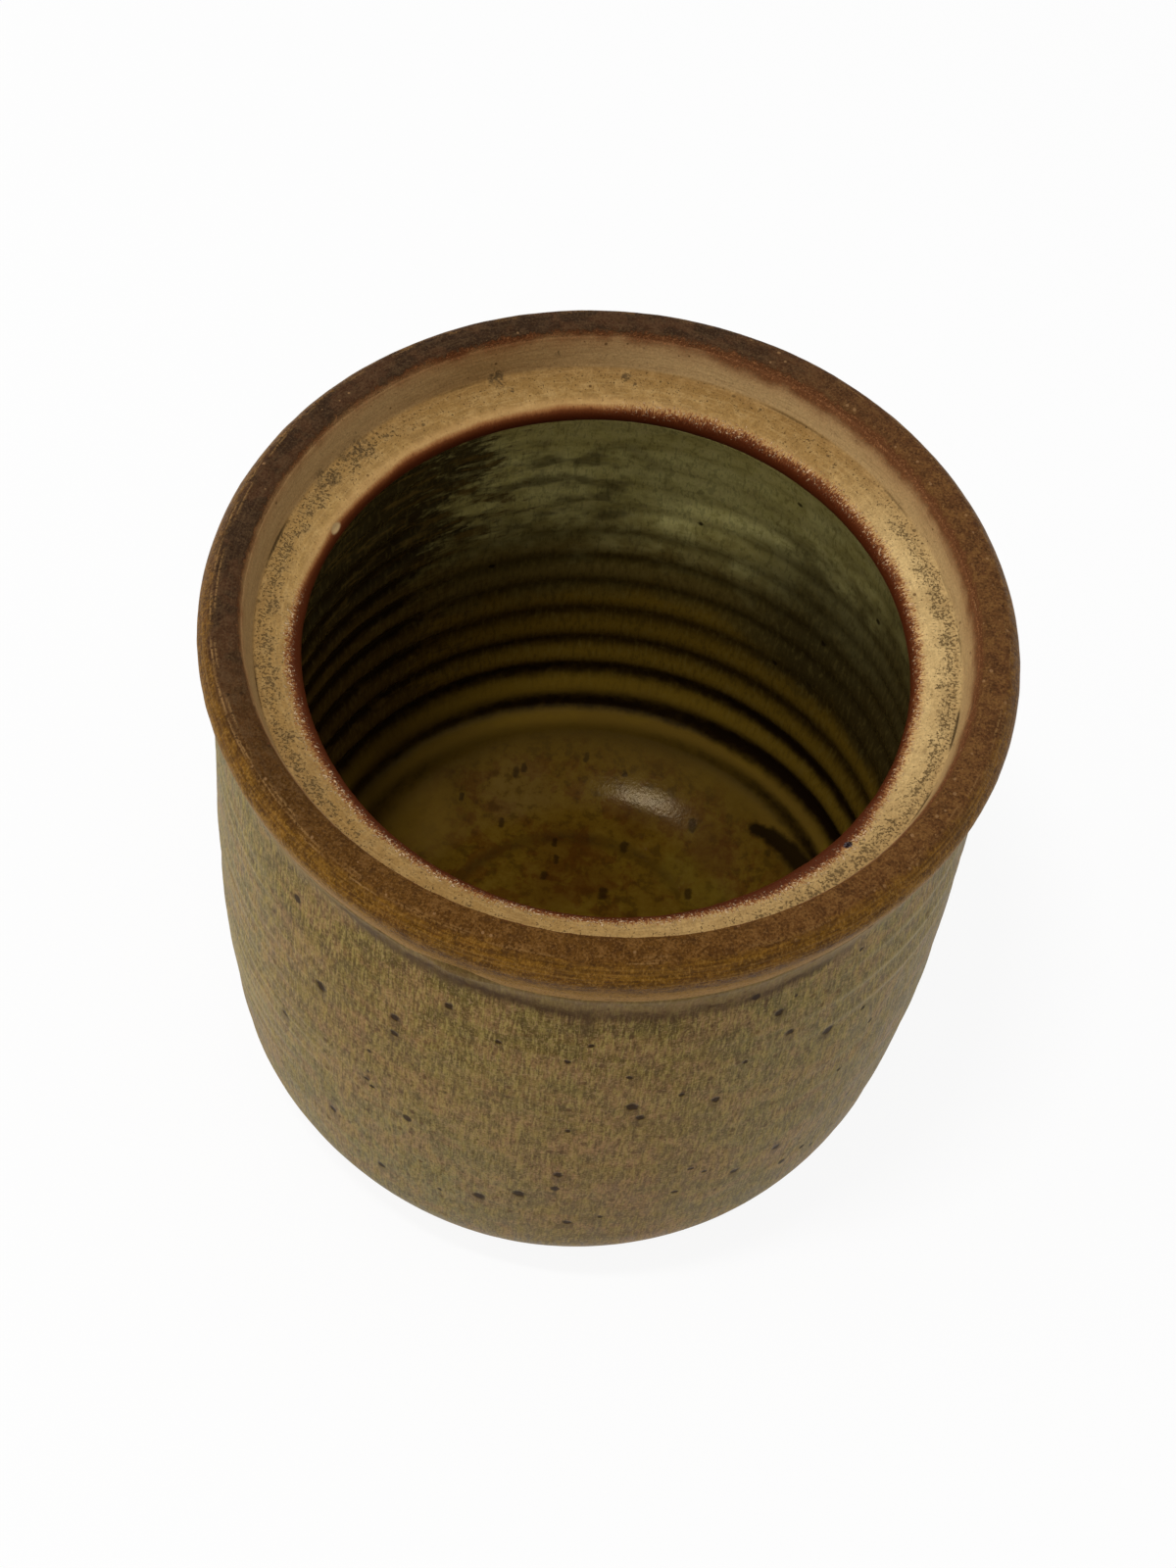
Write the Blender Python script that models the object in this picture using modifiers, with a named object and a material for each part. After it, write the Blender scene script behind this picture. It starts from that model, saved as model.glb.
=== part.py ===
"""Stoneware rice jar: a wheel-thrown pot with an inner ledge for a lid.

The fired clay body is one turned piece. An iron wash covers its rim, an ash glaze its side and a
liner glaze its inside. Each coat is a thin shell of its own over the clay. Metres, +Z up, and the
origin is at the middle of the foot.
"""

import math

import bmesh
import bpy

# Clay body, main sizes; every other height and radius follows from these two
rim_height = 0.1518
rim_radius = 0.0792

# Clay body, side: how far each height stands in from the rim's widest radius
rim_under_inset = 0.0015
rim_under_drop = 0.0108
neck_inset = 0.0036
neck_drop = 0.0183
shoulder_inset = 0.0021
shoulder_drop = 0.0398
belly_inset = 0.0009
belly_height = 0.0660
low_side_inset = 0.0022
low_side_height = 0.0320
base_curve_inset = 0.0055
base_curve_height = 0.0160
foot_line_inset = 0.0100
foot_line_height = 0.0040

# Clay body, foot
foot_inset = 0.0132
foot_ring_width = 0.0080
foot_recess_depth = 0.0030

# Clay body, rim and lid ledge
rim_widest_drop = 0.0042
rim_roll_width = 0.0030
rim_edge_drop = 0.0004
rim_inner_edge = 0.0007
rim_width = 0.0098
gallery_flare = 0.0020
gallery_depth = 0.0092
ledge_width = 0.0094
ledge_seat_width = 0.0044
ledge_fall = 0.0015
lip_roll_radius = 0.0026

# Clay body, inside
wall = 0.0077
floor_thickness = 0.0076
floor_turn_height = 0.0090
floor_turn_width = 0.0125
lip_back_height = 0.0140

# Throwing rings left by the potter's fingers on the inner wall
ring_count = 9
first_ring_rise = 0.0115
last_ring_drop = 0.0063
ring_depth = 0.0008
ring_pitch_share = 0.955
ring_depth_share = 0.90

# Coats over the clay
wash_thickness = 0.0005
glaze_thickness = 0.0008
liner_thickness = 0.0008
fit_gap = 0.0003

# Turning
turn_steps = 44
side_steps = 2
roll_steps = 4
axis_merge = 0.0001

gallery_radius = rim_radius - rim_width
lip_radius = gallery_radius - ledge_width
ledge_height = rim_height - gallery_depth

jar = bpy.data.collections.new("rice_jar")


def clear_scene():
    for thing in list(bpy.data.objects):
        bpy.data.objects.remove(thing, do_unlink=True)
    bpy.context.scene.collection.children.link(jar)


def material(name, colour, roughness):
    made = bpy.data.materials.new(name)
    made.use_nodes = True
    shader = made.node_tree.nodes["Principled BSDF"]
    shader.inputs["Base Color"].default_value = (*colour, 1.0)
    shader.inputs["Roughness"].default_value = roughness
    shader.inputs["Metallic"].default_value = 0.0
    return made


def smooth_curve(points, steps):
    """Catmull-Rom curve through (radius, height) points, with the same steps in each span."""
    rows = [points[0]]
    for i in range(len(points) - 1):
        before = points[max(i - 1, 0)]
        start, end = points[i], points[i + 1]
        after = points[min(i + 2, len(points) - 1)]
        for step in range(1, steps + 1):
            t = step / steps
            rows.append(tuple(
                0.5 * (2 * start[k] + (end[k] - before[k]) * t
                       + (2 * before[k] - 5 * start[k] + 4 * end[k] - after[k]) * t ** 2
                       + (3 * start[k] - before[k] - 3 * end[k] + after[k]) * t ** 3)
                for k in (0, 1)))
    return rows


def arc(centre, width, height, start_angle, end_angle, steps):
    """Elliptic arc in the profile's plane, by angles in degrees from the +radius direction."""
    rows = []
    for step in range(steps + 1):
        angle = math.radians(start_angle + (end_angle - start_angle) * step / steps)
        rows.append((centre[0] + width * math.cos(angle), centre[1] + height * math.sin(angle)))
    return rows


def rim_rows():
    """Top of the rim and its rolled outer face, down to where the wash meets the glaze."""
    inner = gallery_radius + gallery_flare
    corner = arc((inner + rim_inner_edge, rim_height - rim_inner_edge),
                 rim_inner_edge, rim_inner_edge, 180, 90, 2)
    rolled = smooth_curve([
        (rim_radius - rim_roll_width, rim_height - rim_edge_drop),
        (rim_radius, rim_height - rim_widest_drop),
        (rim_radius - rim_under_inset, rim_height - rim_under_drop)], side_steps + 1)
    return corner + rolled


def side_rows():
    """Side of the jar from the rim's underside, through the neck and belly, to the foot line."""
    points = [
        (rim_radius - rim_under_inset, rim_height - rim_under_drop),
        (rim_radius - neck_inset, rim_height - neck_drop),
        (rim_radius - shoulder_inset, rim_height - shoulder_drop),
        (rim_radius - belly_inset, belly_height),
        (rim_radius - low_side_inset, low_side_height),
        (rim_radius - base_curve_inset, base_curve_height),
        (rim_radius - foot_line_inset, foot_line_height)]
    return smooth_curve(points, side_steps)


def side_radius(height):
    """Radius of the clay's side at a height, read from its curve."""
    rows = side_rows()
    for upper, lower in zip(rows, rows[1:]):
        if lower[1] <= height <= upper[1]:
            share = (height - lower[1]) / (upper[1] - lower[1])
            return lower[0] + (upper[0] - lower[0]) * share
    return rows[0][0] if height > rows[0][1] else rows[-1][0]


def foot_rows():
    """Bare foot ring and the shallow recess turned inside it, in to the axis."""
    outer = rim_radius - foot_inset
    inner = outer - foot_ring_width
    return [
        (outer, 0),
        (inner, 0),
        (inner - foot_recess_depth, foot_recess_depth),
        (0, foot_recess_depth)]


def gallery_rows():
    """From under the lip, round its nose, over the ledge and up the gallery wall."""
    nose = (lip_radius + lip_roll_radius, ledge_height - ledge_fall - lip_roll_radius)
    rolled = arc(nose, lip_roll_radius, lip_roll_radius, 270, 90, roll_steps)
    seat = [(gallery_radius - ledge_seat_width, ledge_height), (gallery_radius, ledge_height)]
    return rolled + seat


def inside_rows():
    """Floor, the turn into the wall, the wall with its throwing rings and the back of the lip."""
    floor_height = foot_recess_depth + floor_thickness
    turn_top = floor_height + floor_turn_height
    turn_radius = side_radius(turn_top) - wall
    centre = (turn_radius - floor_turn_width, turn_top)
    turn = arc(centre, floor_turn_width, floor_turn_height, -90, -10, roll_steps)
    lip_back = gallery_rows()[0]
    back_foot = lip_back[1] - lip_back_height
    height, depth = floor_height + first_ring_rise, ring_depth
    pitch_sum = sum(ring_pitch_share ** ring for ring in range(ring_count))
    pitch = (back_foot - last_ring_drop - height) / pitch_sum
    rings = []
    for _ in range(ring_count):
        crest = height + pitch / 2
        rings.append((side_radius(height) - wall + depth / 2, height))
        rings.append((side_radius(crest) - wall - depth / 2, crest))
        height += pitch
        pitch *= ring_pitch_share
        depth *= ring_depth_share
    under_lip = smooth_curve([
        (side_radius(back_foot) - wall, back_foot),
        ((side_radius(back_foot) - wall + lip_back[0]) / 2 + lip_roll_radius / 2,
         lip_back[1] - lip_roll_radius),
        lip_back], side_steps)
    return [(0, floor_height)] + turn + rings + under_lip


def offset(rows, distance):
    """The same outline moved sideways, to its left as it is read, by a set distance."""
    moved = []
    for i, row in enumerate(rows):
        back, ahead = rows[max(i - 1, 0)], rows[min(i + 1, len(rows) - 1)]
        run, rise = ahead[0] - back[0], ahead[1] - back[1]
        length = math.hypot(run, rise)
        radius = row[0] - distance * rise / length
        moved.append((radius if row[0] else 0, row[1] + distance * run / length))
    return moved


def started_late(rows, distance):
    """The same outline with its first point moved along the outline by a set distance."""
    (radius, height), (next_radius, next_height) = rows[0], rows[1]
    share = distance / math.hypot(next_radius - radius, next_height - height)
    first = (radius + (next_radius - radius) * share, height + (next_height - height) * share)
    return [first] + rows[1:]


def turned(name, rows, finish):
    """One object turned round the axis from an open outline."""
    mesh = bpy.data.meshes.new(name)
    form = bmesh.new()
    corners = [form.verts.new((radius, 0, height)) for radius, height in rows]
    for first, second in zip(corners, corners[1:]):
        form.edges.new((first, second))
    form.to_mesh(mesh)
    form.free()
    mesh.materials.append(finish)
    thing = bpy.data.objects.new(name, mesh)
    jar.objects.link(thing)
    screw = thing.modifiers.new("turn", "SCREW")
    screw.axis = "Z"
    screw.angle = math.radians(360)
    screw.steps = turn_steps
    screw.render_steps = turn_steps
    screw.use_merge_vertices = True
    screw.merge_threshold = axis_merge
    screw.use_smooth_shade = True
    return thing


def coat(name, rows, thickness, finish):
    """A shell over the clay: its back stands one gap clear of the clay's outline."""
    thing = turned(name, offset(rows, fit_gap + thickness), finish)
    shell = thing.modifiers.new("thickness", "SOLIDIFY")
    shell.thickness = thickness
    shell.offset = -1
    shell.use_even_offset = True
    shell.use_quality_normals = True
    return thing


def build():
    clear_scene()
    clay = material("buff_stoneware", (0.47, 0.33, 0.17), 0.62)
    wash = material("iron_wash", (0.13, 0.065, 0.03), 0.5)
    ash = material("ash_glaze", (0.2, 0.16, 0.075), 0.34)
    liner = material("liner_glaze", (0.11, 0.09, 0.025), 0.28)
    inside, gallery, rim, side = inside_rows(), gallery_rows(), rim_rows(), side_rows()
    turned("clay_body", inside + gallery[1:] + rim + side[1:] + foot_rows(), clay)
    coat("rim_iron_wash", rim, wash_thickness, wash)
    coat("outside_ash_glaze", started_late(side, fit_gap), glaze_thickness, ash)
    coat("inside_liner_glaze", inside, liner_thickness, liner)


build()
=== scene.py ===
"""Looks of the stoneware rice jar: its dressed surfaces, finishes, light and camera.

Outlines are (radius, height) points in millimetres, turned round the jar's axis. Azimuths are in
degrees: 0 is the jar's right in the photograph, 90 its back and -90 its front.
"""

import functools
import itertools
import math

import bmesh
import bpy
import numpy as np
from mathutils import Matrix, Quaternion, Vector


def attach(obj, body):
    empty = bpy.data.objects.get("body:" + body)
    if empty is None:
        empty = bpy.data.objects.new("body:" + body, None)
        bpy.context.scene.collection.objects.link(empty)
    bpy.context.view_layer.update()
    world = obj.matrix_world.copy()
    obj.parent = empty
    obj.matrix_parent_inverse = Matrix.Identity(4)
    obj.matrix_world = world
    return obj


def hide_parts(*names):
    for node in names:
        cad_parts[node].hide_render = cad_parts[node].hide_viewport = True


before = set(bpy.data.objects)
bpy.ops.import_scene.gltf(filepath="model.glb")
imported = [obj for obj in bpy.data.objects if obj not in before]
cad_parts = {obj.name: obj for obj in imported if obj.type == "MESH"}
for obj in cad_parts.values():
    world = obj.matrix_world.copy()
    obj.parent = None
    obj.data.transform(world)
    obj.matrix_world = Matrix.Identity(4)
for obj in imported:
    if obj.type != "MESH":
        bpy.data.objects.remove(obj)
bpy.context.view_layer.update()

mm = 0.001
sectors = 20

# Finished outlines, read upwards inside, over the lip and rim, and down outside
floor_and_wall = [
    (0, 11.9), (16, 11.6), (34, 11.3), (40, 11.6), (44, 12.5), (48, 14.0), (52, 15.9), (58, 19.6), (63.8, 25),
    (67.0, 31.5), (68.9, 42), (69.4, 58), (69.4, 78), (68.9, 100), (68.1, 113), (66.9, 122), (65.2, 129),
    (63.4, 133.4)]
lip_and_ledge = [
    (63.4, 133.4), (62.7, 135.2), (61.2, 136.0), (60.2, 137.3), (60.0, 138.6), (60.4, 140.0),
    (61.4, 141.0), (62.8, 141.6), (64.6, 142.2), (66.4, 142.6), (68.2, 142.7), (69.1, 142.9)]
gallery_wall = [(69.1, 142.9), (69.5, 143.5), (69.9, 145.4), (70.4, 147.6), (71.0, 149.8), (71.6, 151.4)]
under_the_wash = (71.2, 150.4)
rim_top = [
    (71.6, 151.4), (71.95, 152.1), (72.7, 152.45), (74.6, 152.55), (76.2, 152.45), (77.1, 152.1),
    (78.2, 151.1), (79.1, 149.9), (79.7, 148.7), (79.95, 147.5), (79.8, 146.0), (79.3, 144.3), (78.75, 142.6)]
glazed_side = [
    (78.75, 142.6), (78.3, 141.0), (77.5, 138.0), (77.0, 135.2), (76.85, 132.6), (77.2, 127), (77.9, 118),
    (78.4, 108), (79.0, 90), (79.35, 72), (79.3, 60), (78.7, 44), (77.9, 32), (76.6, 22), (74.4, 14.5),
    (72.0, 8.6), (70.2, 5.0)]
bare_foot = [
    (70.2, 5.0), (69.4, 3.6), (67.6, 1.2), (66.4, 0.15), (65.6, 0.0), (58.2, 0.0), (57.4, 0.3), (55.2, 2.9)]
foot_recess = [(30, 3.0), (0, 3.0)]

# Throwing rings inside: height of each groove at the back, and how deep it is
groove_heights = [12, 20.5, 26, 36.2, 46.6, 58.2, 69, 78.4, 87.2, 96.2, 104.6, 112.6, 120.5, 128, 135]
groove_strengths = [0, 0.22, 1.0, 1.0, 0.66, 0.42, 0.4, 0.38, 0.32, 0.28, 0.24, 0.2, 0.14, 0.08, 0]
spiral_starts = 2


def smooth_rows(points, spacing):
    """Centripetal Catmull-Rom curve through the points, with its rows about `spacing` apart."""
    points = [np.array(point, float) for point in points]
    ends = [2 * points[0] - points[1]] + points + [2 * points[-1] - points[-2]]
    rows = [points[0]]
    for four in zip(ends, ends[1:], ends[2:], ends[3:]):
        knots = np.cumsum([0] + [math.sqrt(np.linalg.norm(q - p)) for p, q in zip(four, four[1:])])
        count = max(1, math.ceil(np.linalg.norm(four[2] - four[1]) / spacing))
        for step in range(1, count + 1):
            t = knots[1] + (knots[2] - knots[1]) * step / count
            level = list(four)
            for span in (1, 2):
                level = [(level[i] * (knots[i + span] - t) + level[i + 1] * (t - knots[i]))
                         / (knots[i + span] - knots[i]) for i in range(4 - span)]
            rows.append((level[0] * (knots[2] - t) + level[1] * (t - knots[1])) / (knots[2] - knots[1]))
    return rows


def normals(rows):
    """Unit normal of each row, on the left of the way the outline runs."""
    run = np.gradient(np.asarray(rows), axis=0)
    return np.stack([-run[:, 1], run[:, 0]], 1) / np.linalg.norm(run, axis=1)[:, None]


def lengths(rows):
    """Distance of each row along its outline."""
    return np.concatenate([[0], np.cumsum(np.linalg.norm(np.diff(np.asarray(rows), axis=0), axis=1))])


def beside(rows, distance):
    """The outline moved sideways, to its left as it is read, by a set distance."""
    rows = np.array(rows)
    moved = rows + normals(rows) * distance
    moved[rows[:, 0] == 0, 0] = 0
    return moved


def turned_mesh(name, outline, kept, steps):
    """A closed mesh turned round the axis, which keeps some numbers for each point of its outline."""
    form = bmesh.new()
    layers = [form.verts.layers.float.new(key) for key in kept]
    points = []
    for place, (radius, height) in enumerate(outline):
        point = form.verts.new((radius * mm, 0, height * mm))
        for layer, values in zip(layers, kept.values()):
            point[layer] = values[place]
        points.append(point)
    pairs = list(zip(points, points[1:]))
    if outline[0, 0] > 0:
        pairs.append((points[-1], points[0]))
    lines = [form.edges.new(pair) for pair in pairs]
    bmesh.ops.spin(form, geom=points + lines, cent=(0, 0, 0), axis=(0, 0, 1), dvec=(0, 0, 0),
                   angle=math.tau / sectors, steps=steps // sectors, use_merge=False, use_duplicate=False)
    sector = form.verts[:] + form.edges[:] + form.faces[:]
    for place in range(1, sectors):
        copy = bmesh.ops.duplicate(form, geom=sector)["geom"]
        bmesh.ops.rotate(form, cent=(0, 0, 0), matrix=Matrix.Rotation(math.tau * place / sectors, 3, "Z"),
                         verts=[part for part in copy if isinstance(part, bmesh.types.BMVert)])
    bmesh.ops.remove_doubles(form, verts=form.verts, dist=0.005 * mm)
    bmesh.ops.recalc_face_normals(form, faces=form.faces)
    mesh = bpy.data.meshes.new(name)
    form.to_mesh(mesh)
    form.free()
    mesh.polygons.foreach_set("use_smooth", np.ones(len(mesh.polygons), bool))
    return mesh


class Turned:
    """A closed piece turned round the axis. Its shown points can move along the outline's normal."""

    def __init__(self, name, parts, steps):
        """parts are (rows, shown) in order; a piece that starts and ends on the axis closes there."""
        outline = np.concatenate([rows for rows, _ in parts])
        along = [lengths(rows) if shown else np.full(len(rows), -1.0) for rows, shown in parts]
        normal = [normals(rows) if shown else np.zeros((len(rows), 2)) for rows, shown in parts]
        out, up = np.concatenate(normal).T
        kept = {"along": np.concatenate(along), "out": out, "up": up}
        self.mesh = turned_mesh(name, outline, kept, steps)
        self.thing = bpy.data.objects.new(name, self.mesh)
        bpy.context.scene.collection.objects.link(self.thing)
        self.places = self.read(self.mesh.vertices, "co", 3).reshape(-1, 3) / mm
        self.angle = np.arctan2(self.places[:, 1], self.places[:, 0])
        self.degrees = np.degrees(self.angle)
        self.radius = np.hypot(self.places[:, 0], self.places[:, 1])
        self.height = self.places[:, 2].copy()
        self.along, self.out, self.up = (self.read(self.mesh.attributes[key].data, "value") for key in kept)
        self.shown = self.along >= 0
        for key in ("out", "up"):
            self.mesh.attributes.remove(self.mesh.attributes[key])

    def read(self, source, key, width=1):
        values = np.zeros(len(self.mesh.vertices) * width, np.float32)
        source.foreach_get(key, values)
        return values.astype(float)

    def raise_by(self, distance):
        """Moves the shown points outwards, along the outline's normal."""
        distance = np.where(self.shown, distance, 0)
        self.places[:, 0] += np.cos(self.angle) * self.out * distance
        self.places[:, 1] += np.sin(self.angle) * self.out * distance
        self.places[:, 2] += self.up * distance

    def slide(self, rows, distance):
        """Moves the shown points along the outline that they were turned from."""
        along = self.along + distance
        radius = np.interp(along, lengths(rows), rows[:, 0])
        height = np.interp(along, lengths(rows), rows[:, 1])
        moved = np.stack([radius * np.cos(self.angle), radius * np.sin(self.angle), height], 1)
        self.places = np.where(self.shown[:, None], moved, self.places)

    def dab(self, azimuth, turn, along, width):
        """A soft mark: the middle and reach of it in degrees round the jar, then along the outline."""
        return hump(turn_gap(self.degrees, azimuth), 0, turn) * hump(self.along, along, width)

    def keep(self, key, values):
        """Keeps one number for each point, for the finish to read."""
        made = self.mesh.attributes.new(key, "FLOAT", "POINT")
        made.data.foreach_set("value", values.astype(np.float32))

    def done(self, finish, node, slot):
        """Sways the piece as the whole jar does, writes its points back and gives it to the frame."""
        spread = sway(self.angle, self.places[:, 2])
        self.places[:, 0] += np.cos(self.angle) * spread + lean(self.places[:, 2])
        self.places[:, 1] += np.sin(self.angle) * spread
        on_axis = np.hypot(self.places[:, 0], self.places[:, 1]) < 1
        self.places[on_axis, :2] = 0
        self.places[:, 2] = np.maximum(self.places[:, 2], 0)
        self.mesh.vertices.foreach_set("co", (self.places * mm).ravel().astype(np.float32))
        self.mesh.update()
        self.mesh.materials.append(finish)
        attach(self.thing, "root")
        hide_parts(node)


def swell(angle, height, seed, turns, length, count=14):
    """Smooth seeded swell between about -1 and 1 that closes round the jar."""
    chance = np.random.default_rng(seed)
    total = 0
    for _ in range(count):
        turn, tilt = chance.integers(0, turns + 1), chance.uniform(-1, 1) * math.tau / length
        total = total + np.cos(turn * angle + tilt * height + chance.uniform(0, math.tau))
    return np.tanh(total / math.sqrt(count))


def sway(angle, height):
    """Small unevenness of the whole thrown form, always inwards."""
    return -0.16 + 0.16 * swell(angle, height, 3, 3, 150)


def lean(height):
    """The belly stands a little to the right of the rim."""
    return 0.4 * held((128 - height) / 40)


def grain(places, size, seed, octaves=3):
    """Fractal noise at each place, about -1 to 1, for features of about `size` millimetres."""
    table = np.random.default_rng(seed).uniform(-1, 1, (64, 64, 64))
    total, share = 0, 0.8
    for octave in range(octaves):
        where = places / size * 2 ** octave
        cell = np.floor(where).astype(int)
        ease = where - cell
        ease = ease * ease * (3 - 2 * ease)
        for corner in itertools.product((0, 1), repeat=3):
            i, j, k = ((cell + corner) % 64).T
            total = total + share * table[i, j, k] * np.prod(np.where(corner, ease, 1 - ease), axis=1)
        share *= 0.5
    return total


def held(value):
    """The value, held between 0 and 1."""
    return np.clip(value, 0, 1)


def hump(value, centre, width):
    """1 at the centre, and falling away on both sides over about the width."""
    return np.exp(-((value - centre) / width) ** 2)


def turn_gap(degrees, azimuth):
    """Degrees from an azimuth, the short way round."""
    return (degrees - azimuth + 180) % 360 - 180


def side(degrees, azimuth, half, soft):
    """1 within half degrees of an azimuth, falling to 0 over soft degrees more."""
    return held(1 + (half - np.abs(turn_gap(degrees, azimuth))) / soft)


def glaze_drop(degrees):
    """How much lower the upper edge of the ash glaze hangs at the front, in millimetres."""
    near = side(degrees, -84, 20.8, 26)
    return 4.6 * near * near * (3 - 2 * near)


def shape_liner():
    """Liner glaze on the floor and wall, with the spiral that the potter's fingers left."""
    liner = Turned("liner_glaze_inside", [
        (smooth_rows(floor_and_wall, 0.82), True),
        (beside(smooth_rows(floor_and_wall, 5), -0.9)[::-1], False)], 360)
    angle, degrees, height, radius = liner.angle, liner.degrees, liner.height, liner.radius
    pitch = np.interp(height, groove_heights, np.gradient(groove_heights))
    rise = np.interp(height, groove_heights, np.arange(len(groove_heights)))
    uneven_climb = 0.31 * (1 - np.cos(angle - math.radians(100))) - 0.05 * swell(angle, height, 12, 4, 50)
    phase = rise - spiral_starts * (90 - degrees) / 360 - uneven_climb
    gap = phase - np.round(phase)
    on_wall = held((height - 15) / 7) * held((133 - height) / 8)
    on_left = (66 - np.abs(turn_gap(degrees, -172))) / 14
    left_strength = 0.9 * held(on_left) * held((120 - height) / 20)
    strength = np.maximum(np.interp(height, groove_heights, groove_strengths), left_strength) * on_wall
    ridge = (0.5 - 0.5 * np.cos(math.tau * gap)) * on_wall
    floor_ring = hump(radius, 33.6, 1.6) * (height < 14)
    liner.raise_by(0.42 * ridge * (0.3 + 0.6 * strength)
                   - 0.55 * hump(gap * pitch, 0, 1.7) * strength
                   + 0.10 * swell(angle, height, 5, 9, 30) * on_wall
                   - 0.2 * floor_ring
                   + 0.25 * swell(angle, radius, 6, 3, 40) * (1 - on_wall) * held(radius / 20))
    uneven = 0.8 + 0.2 * swell(angle, height, 11, 5, 60)
    liner.keep("groove", hump(gap * pitch, 0, 2.5) * strength * uneven)
    liner.keep("ridge", ridge)
    liner.keep("left", np.clip(on_left, -2, 3))
    return liner


def shape_clay():
    """Clay body: lip, ledge and gallery in full detail, and plain where its coats cover it."""
    clay = Turned("clay_body_with_lid_ledge", [
        (beside(smooth_rows(floor_and_wall, 7), -1.7)[:-1], False),
        (smooth_rows(lip_and_ledge + gallery_wall[1:-1] + [under_the_wash], 0.32), True),
        (beside(smooth_rows(rim_top, 2.5), -0.6), False),
        (beside(smooth_rows(glazed_side, 9), -1.1)[1:-1], False),
        (np.array(smooth_rows(bare_foot, 1.6) + foot_recess), False)], 560)
    along, degrees = clay.along, clay.degrees
    rough, coarse = grain(clay.places, 1.0, 1), grain(clay.places, 6, 2)
    pit_sides = side(degrees, -12, 13, 26) + 0.6 * side(degrees, 180, 15, 30)
    pits = held(rough * 2.5 - 0.5) * held(1.5 - np.abs(along - 15.2) / 2.2) * pit_sides
    crease_sides = np.maximum(np.maximum(side(degrees, -12, 9.6, 16), 0.6), side(degrees, 178, 15.6, 26))
    crease = hump(along, 17.8, 0.42) * held(0.5 + 0.6 * swell(clay.angle, 0, 31, 24, 60)) * crease_sides
    chip = clay.dab(161, 1.5, 8.4, 1.2)
    tear = clay.dab(-138.5, 2.6, 18.2, 0.5)
    bead = clay.dab(-38.6, 0.85, 11.6, 0.9)
    from_slit = turn_gap(degrees, -8)
    slit = hump(from_slit, 0, 1.6) * hump(along - 0.28 * from_slit, 24.2, 0.4)
    nicks = held(grain(clay.places, 0.8, 3) - 0.1) * hump(along, 8.4, 1.6) * (1 - side(degrees, 136, 40, 20))
    worn_lip = 0.9 * clay.dab(-92, 40, 8.3, 2.4) + 0.7 * clay.dab(178, 26, 8.3, 2.4)
    clay.raise_by(0.06 * coarse + 0.02 * rough - 0.1 * pits - 0.18 * crease - 0.45 * chip - 0.5 * slit
                  - 0.4 * tear + 0.22 * nicks + 0.5 * bead - worn_lip)
    clay.keep("pits", pits)
    clay.keep("crease", np.maximum(crease, np.maximum(slit, tear)))
    clay.keep("chip", chip)
    clay.keep("bead", bead)
    return clay


def shape_wash():
    """Iron wash, from the top of the gallery wall over the rim to its underside, and on under the glaze."""
    covered = gallery_wall[-2:] + rim_top[1:] + glazed_side[1:5]
    wash = Turned("iron_wash_on_rim", [
        (np.array(smooth_rows(covered, 0.27)), True),
        (beside(smooth_rows(covered, 1.5), -0.5)[::-1], False)], 680)
    angle, along = wash.angle, wash.along
    drop = glaze_drop(wash.degrees)
    lines = sum(hump(along + 0.3 * swell(angle, 0, seed, 3, 60), 8.6 + 0.62 * seed, 0.16)
                * held(0.2 + 0.9 * swell(angle, 0, seed + 50, 12, 60)) for seed in range(13))
    left_rim = side(wash.degrees, -170, 22.5, 45)
    arris = sum(hump(along + 0.35 * swell(angle, 0, wander, 9, 60), place, 0.15)
                * held(0.9 * swell(angle, 0, breaks, 46, 60) + 0.7 * left_rim - 0.15)
                for place, wander, breaks in ((7.0, 61, 62), (7.7, 63, 64), (8.3, 65, 66)))
    on_top = held(along - 1.5) * held((9.5 - along) / 1.5)
    wash.raise_by(-0.12 - 0.14 * held(1 - along / 0.7) - 0.34 * held((along - 19.2 - drop) / 1.4)
                  + 0.04 * lines + 0.1 * arris + 0.06 * grain(wash.places, 3.5, 4)
                  + (0.1 * grain(wash.places, 1.3, 5) + 0.05 * grain(wash.places, 0.6, 7)) * on_top)
    wash.keep("line", lines)
    wash.keep("arris", arris)
    wash.keep("face", along - drop * held((along - 9) / 8))
    return wash


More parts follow.
